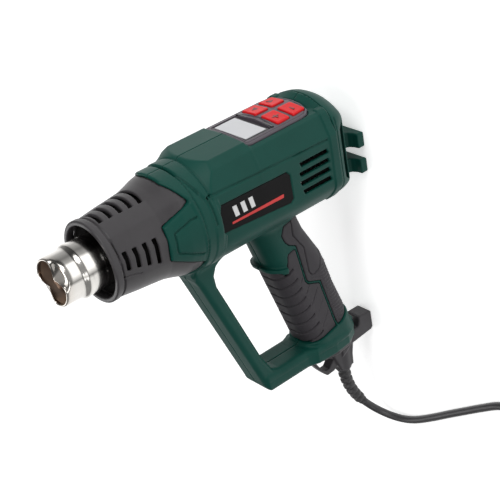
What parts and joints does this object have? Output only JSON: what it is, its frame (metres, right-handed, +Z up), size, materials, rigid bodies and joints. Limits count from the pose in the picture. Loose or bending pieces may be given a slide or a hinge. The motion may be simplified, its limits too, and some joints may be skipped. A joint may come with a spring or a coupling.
{
  "type": "heat gun",
  "caption": "Dark green hot air gun with a hand guard, bright steel nozzle, display with four red buttons, rubber grip, tail stand and black cord.",
  "frame": {"origin": "on the floor under the middle of the gun's bounding box, the cord left out; the gun stands on its tail stand", "axes": "+Z up along the barrel to the nozzle, +X towards the display side, -X towards the end of the grip, -Y towards the label side seen in the picture"},
  "size_m": [0.2907, 0.3196, 0.2545],
  "materials": {
    "green_plastic": "fine moulded grain, satin",
    "dark_plastic": "moulded, satin",
    "bezel_plastic": "smooth, semi-gloss",
    "window": "clear, over a pale display",
    "display": "smooth",
    "board": "lacquered board",
    "button_red": "smooth red",
    "black_plastic": "moulded",
    "grip_rubber": "soft-touch, textured",
    "label_black": "smooth black",
    "cord_rubber": "smooth sheath",
    "pin_metal": "plated",
    "screw_steel": "zinc plated",
    "nozzle_steel": "bright, slightly heat-tinted",
    "mica": "layered mica",
    "ceramic": "unglazed ceramic",
    "heater_wire": "oxidised",
    "shield_steel": "dull",
    "motor_steel": "plated",
    "heat_sink_aluminium": "extruded",
    "lead_insulation": "insulated wire",
    "yellow_plastic": "smooth",
    "terminal_plastic": "moulded"
  },
  "bodies": {
    "gun": {"left_housing": "green_plastic", "right_housing": "green_plastic", "nose_shroud": "dark_plastic", "rear_cover": "green_plastic", "display_bezel": "bezel_plastic", "lcd_window": "window", "lcd_module": "display", "display_board": "board", "tact_switches": "black_plastic", "grip_front_rubber": "grip_rubber", "grip_back_rubber": "grip_rubber", "label_plate_left": "label_black", "label_plate_right": "label_black", "switch_body": "black_plastic", "base_bracket": "dark_plastic", "strain_relief": "cord_rubber", "supply_cord": "cord_rubber", "cord_coil": "cord_rubber", "cord_tie": "black_plastic", "mains_plug": "cord_rubber", "plug_pins": "pin_metal", "cord_tail": "cord_rubber", "cord_clamp": "black_plastic", "clamp_screws": "screw_steel", "terminal_block": "terminal_plastic", "inner_leads": "lead_insulation", "housing_screws": "screw_steel", "motor_can": "motor_steel", "motor_end_cap": "black_plastic", "motor_screws": "screw_steel", "fan_duct": "black_plastic", "heater_tube": "nozzle_steel", "mica_sleeve": "mica", "heater_core": "ceramic", "heating_coils": "heater_wire", "temperature_probe": "heater_wire", "heater_flange": "ceramic", "heater_screws": "screw_steel", "heat_shield": "shield_steel", "power_board": "board", "heat_sink": "heat_sink_aluminium", "triac": "black_plastic", "film_capacitor": "yellow_plastic", "intake_filters": "black_plastic"},
    "button_air_up_body": {"button_air_up": "button_red"},
    "button_air_down_body": {"button_air_down": "button_red"},
    "button_heat_up_body": {"button_heat_up": "button_red"},
    "button_heat_down_body": {"button_heat_down": "button_red"},
    "slider": {"power_slider": "black_plastic"},
    "rotor": {"motor_shaft": "motor_steel", "fan_impeller": "black_plastic"}
  },
  "joints": [
    {"name": "button_air_up_press", "type": "slide", "parent": "gun", "child": "button_air_up_body", "axis": [-1, 0, 0], "range_m": [0, 0.0008], "stiffness_N_per_m": 600},
    {"name": "button_air_down_press", "type": "slide", "parent": "gun", "child": "button_air_down_body", "axis": [-1, 0, 0], "range_m": [0, 0.0008], "stiffness_N_per_m": 600},
    {"name": "button_heat_up_press", "type": "slide", "parent": "gun", "child": "button_heat_up_body", "axis": [-1, 0, 0], "range_m": [0, 0.0008], "stiffness_N_per_m": 600},
    {"name": "button_heat_down_press", "type": "slide", "parent": "gun", "child": "button_heat_down_body", "axis": [-1, 0, 0], "range_m": [0, 0.0008], "stiffness_N_per_m": 600},
    {"name": "power_slide", "type": "slide", "parent": "gun", "child": "slider", "axis": [0.9588, 0, 0.284], "range_m": [-0.008, 0]},
    {"name": "rotor_spin", "type": "hinge", "parent": "gun", "child": "rotor", "pos_m": [0.07425, 0, 0.07], "axis": [0, 0, 1], "continuous": true}
  ]
}
